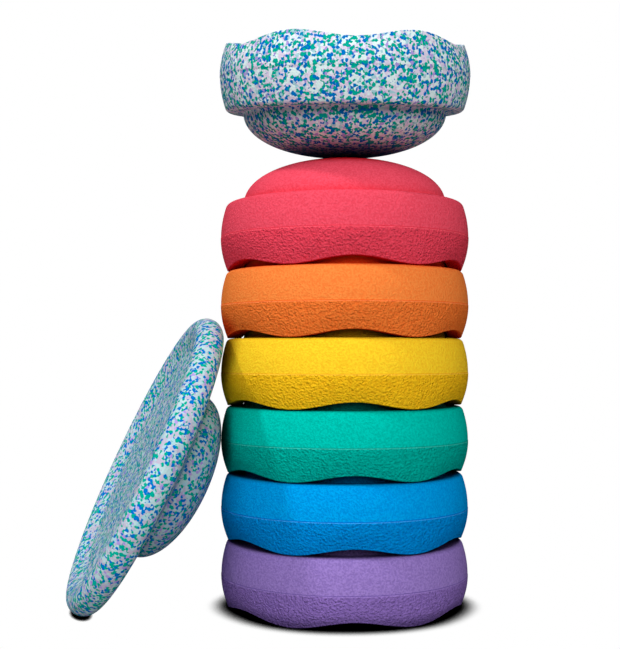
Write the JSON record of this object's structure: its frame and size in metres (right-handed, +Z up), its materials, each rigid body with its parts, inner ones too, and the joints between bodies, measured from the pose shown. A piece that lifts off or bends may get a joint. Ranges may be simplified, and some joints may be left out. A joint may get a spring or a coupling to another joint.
{
  "type": "balance stepping stone set",
  "caption": "Round foam stepping stones with domed tops and wavy lower edges, nested in a stack, one turned over and tipped on top, and a round dished balance board that leans on the stack.",
  "frame": {"origin": "middle of the set's footprint, on the floor it stands on", "axes": "+Z up; -Y is the front, the side that the picture shows; +X to the right, away from the leaning board"},
  "size_m": [0.449, 0.3422, 0.6346],
  "materials": {
    "purple_foam": "fine moulded foam skin",
    "blue_foam": "fine moulded foam skin",
    "green_foam": "fine moulded foam skin",
    "yellow_foam": "fine moulded foam skin",
    "orange_foam": "fine moulded foam skin",
    "red_foam": "fine moulded foam skin",
    "speckled_foam": "fused bead foam, speckled",
    "speckled_board_foam": "fused bead foam, speckled"
  },
  "bodies": {
    "purple": {"purple_stone": "purple_foam"},
    "blue": {"blue_stone": "blue_foam"},
    "green": {"green_stone": "green_foam"},
    "yellow": {"yellow_stone": "yellow_foam"},
    "orange": {"orange_stone": "orange_foam"},
    "red": {"red_stone": "red_foam"},
    "speckled": {"speckled_stone": "speckled_foam"},
    "board": {"balance_board": "speckled_board_foam"}
  },
  "joints": [
    {"name": "blue_lift", "type": "slide", "parent": "purple", "child": "blue", "axis": [0, 0, 1], "range_m": [0, 0.06]},
    {"name": "green_lift", "type": "slide", "parent": "blue", "child": "green", "axis": [0, 0, 1], "range_m": [0, 0.06]},
    {"name": "yellow_lift", "type": "slide", "parent": "green", "child": "yellow", "axis": [0, 0, 1], "range_m": [0, 0.06]},
    {"name": "orange_lift", "type": "slide", "parent": "yellow", "child": "orange", "axis": [0, 0, 1], "range_m": [0, 0.06]},
    {"name": "red_lift", "type": "slide", "parent": "orange", "child": "red", "axis": [0, 0, 1], "range_m": [0, 0.06]},
    {"name": "speckled_rock", "type": "hinge", "parent": "red", "child": "speckled", "pos_m": [0.08703, -0.00782, 0.784], "axis": [1, 0, 0], "range_deg": [-15, 4]},
    {"name": "board_tip", "type": "hinge", "parent": "purple", "child": "board", "pos_m": [-0.19884, -0.01574, 0.016], "axis": [0.2334, -0.9724, 0], "range_deg": [0, 115]}
  ]
}
